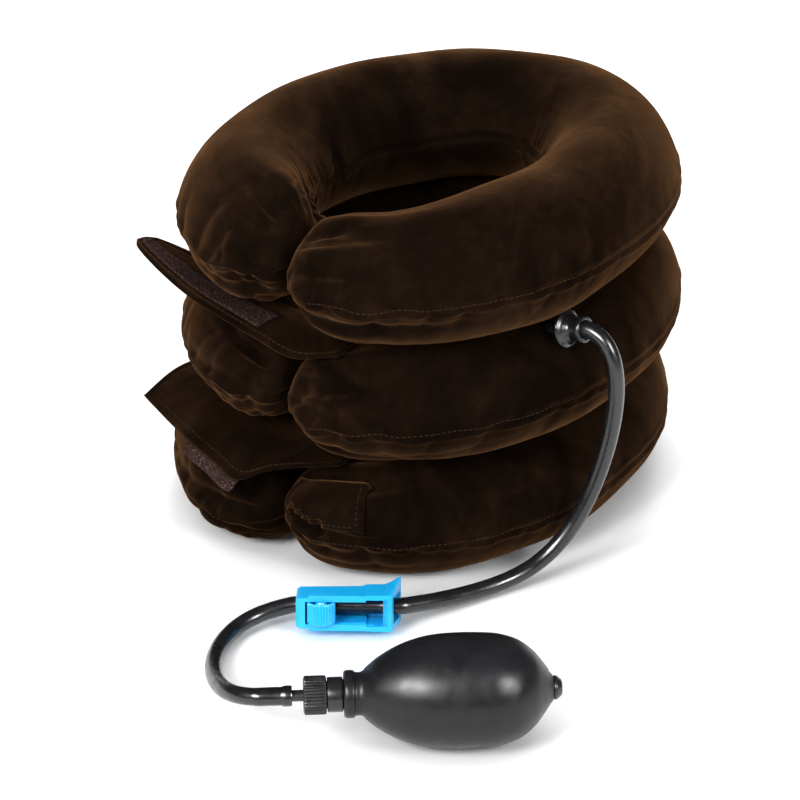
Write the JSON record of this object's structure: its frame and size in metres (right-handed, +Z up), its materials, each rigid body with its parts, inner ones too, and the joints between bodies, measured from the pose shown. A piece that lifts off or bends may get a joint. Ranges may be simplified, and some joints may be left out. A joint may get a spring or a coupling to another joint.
{
  "type": "inflatable cervical traction collar",
  "caption": "Stacked inflatable neck collar in brown velour with closing straps, an air hose with a roller clamp, and a hand bulb with a release valve.",
  "frame": {"origin": "on the ground under the middle of the footprint of the collar, hose and bulb together", "axes": "+Z up, -Y towards the throat side where the cushion arms meet, +X towards the side with the air inlet"},
  "size_m": [0.3172, 0.36, 0.1871],
  "materials": {
    "brown_velour": "flocked velour, matt with a soft sheen",
    "hook_tape": "hook tape with a fine sparkle",
    "vinyl": "plain vinyl",
    "black_rubber": "satin rubber",
    "black_plastic": "moulded, satin",
    "blue_plastic": "moulded, glossy",
    "steel": "polished"
  },
  "bodies": {
    "base": {"bottom_tier_lower_sheet": "brown_velour", "bottom_tier_upper_sheet": "brown_velour", "bottom_strap_tab": "brown_velour", "hose": "black_rubber", "clamp_housing": "blue_plastic", "hose_stem": "black_plastic", "valve_body": "black_plastic", "bulb": "black_rubber", "inlet_valve_body": "black_plastic", "inlet_valve_retainer": "black_plastic"},
    "middle_tier": {"middle_tier_lower_sheet": "brown_velour", "middle_tier_upper_sheet": "brown_velour", "middle_strap": "brown_velour", "middle_strap_hook_tape": "hook_tape", "lower_air_grommet": "vinyl"},
    "top_tier": {"top_tier_lower_sheet": "brown_velour", "top_tier_upper_sheet": "brown_velour", "top_strap": "brown_velour", "top_strap_hook_tape": "hook_tape", "upper_air_grommet": "vinyl"},
    "inlet": {"inlet_port": "black_rubber"},
    "roller_carriage": {"clamp_roller_pin": "steel"},
    "roller": {"clamp_roller": "blue_plastic"},
    "cap_seal": {"release_washer": "black_rubber"},
    "cap": {"release_cap": "black_plastic"},
    "outlet_valve": {"outlet_valve_flap": "black_rubber"},
    "inlet_valve": {"inlet_valve_ball": "steel"}
  },
  "joints": [
    {"name": "middle_tier_drop", "type": "slide", "parent": "base", "child": "middle_tier", "axis": [0, 0, 1], "range_m": [-0.03965, 0], "stiffness_N_per_m": 1500, "deforming": ["bottom_tier_lower_sheet", "bottom_tier_upper_sheet", "bottom_strap_tab", "middle_strap", "middle_strap_hook_tape"]},
    {"name": "top_tier_drop", "type": "slide", "parent": "middle_tier", "child": "top_tier", "axis": [0, 0, 1], "range_m": [-0.03965, 0], "stiffness_N_per_m": 1500, "deforming": ["middle_tier_lower_sheet", "middle_tier_upper_sheet", "top_strap", "top_strap_hook_tape", "top_tier_lower_sheet", "top_tier_upper_sheet"]},
    {"name": "inlet_port_drop", "type": "slide", "parent": "base", "child": "inlet", "axis": [0, 0, 1], "range_m": [-0.0775, 0], "deforming": ["hose"]},
    {"name": "roller_travel", "type": "slide", "parent": "base", "child": "roller_carriage", "axis": [0.7071, 0.7071, 0], "range_m": [0, 0.022]},
    {"name": "roller_spin", "type": "hinge", "parent": "roller_carriage", "child": "roller", "pos_m": [0.02811, -0.09479, 0.01309], "axis": [-0.1949, 0.1949, 0.9613], "range_deg": [0, 200]},
    {"name": "cap_seal_travel", "type": "slide", "parent": "base", "child": "cap_seal", "axis": [-0.6561, -0.7547, 0], "range_m": [0, 0.00112]},
    {"name": "release_cap_turn", "type": "hinge", "parent": "cap_seal", "child": "cap", "pos_m": [0.12464, -0.10609, 0.0247], "axis": [-0.6561, -0.7547, 0], "range_deg": [0, 270]},
    {"name": "outlet_valve_lift", "type": "slide", "parent": "base", "child": "outlet_valve", "axis": [-0.6561, -0.7547, 0], "range_m": [0, 0.0015], "stiffness_N_per_m": 40},
    {"name": "inlet_valve_lift", "type": "slide", "parent": "base", "child": "inlet_valve", "axis": [-0.6561, -0.7547, 0], "range_m": [0, 0.003], "stiffness_N_per_m": 20}
  ],
  "couplings": [
    {"joint": "top_tier_drop", "follows": "middle_tier_drop", "ratio": 1},
    {"joint": "inlet_port_drop", "follows": "middle_tier_drop", "ratio": 1.9432},
    {"joint": "roller_spin", "follows": "roller_travel", "rad_per_m": 156.25},
    {"joint": "release_cap_turn", "follows": "cap_seal_travel", "rad_per_m": 4188.8}
  ]
}
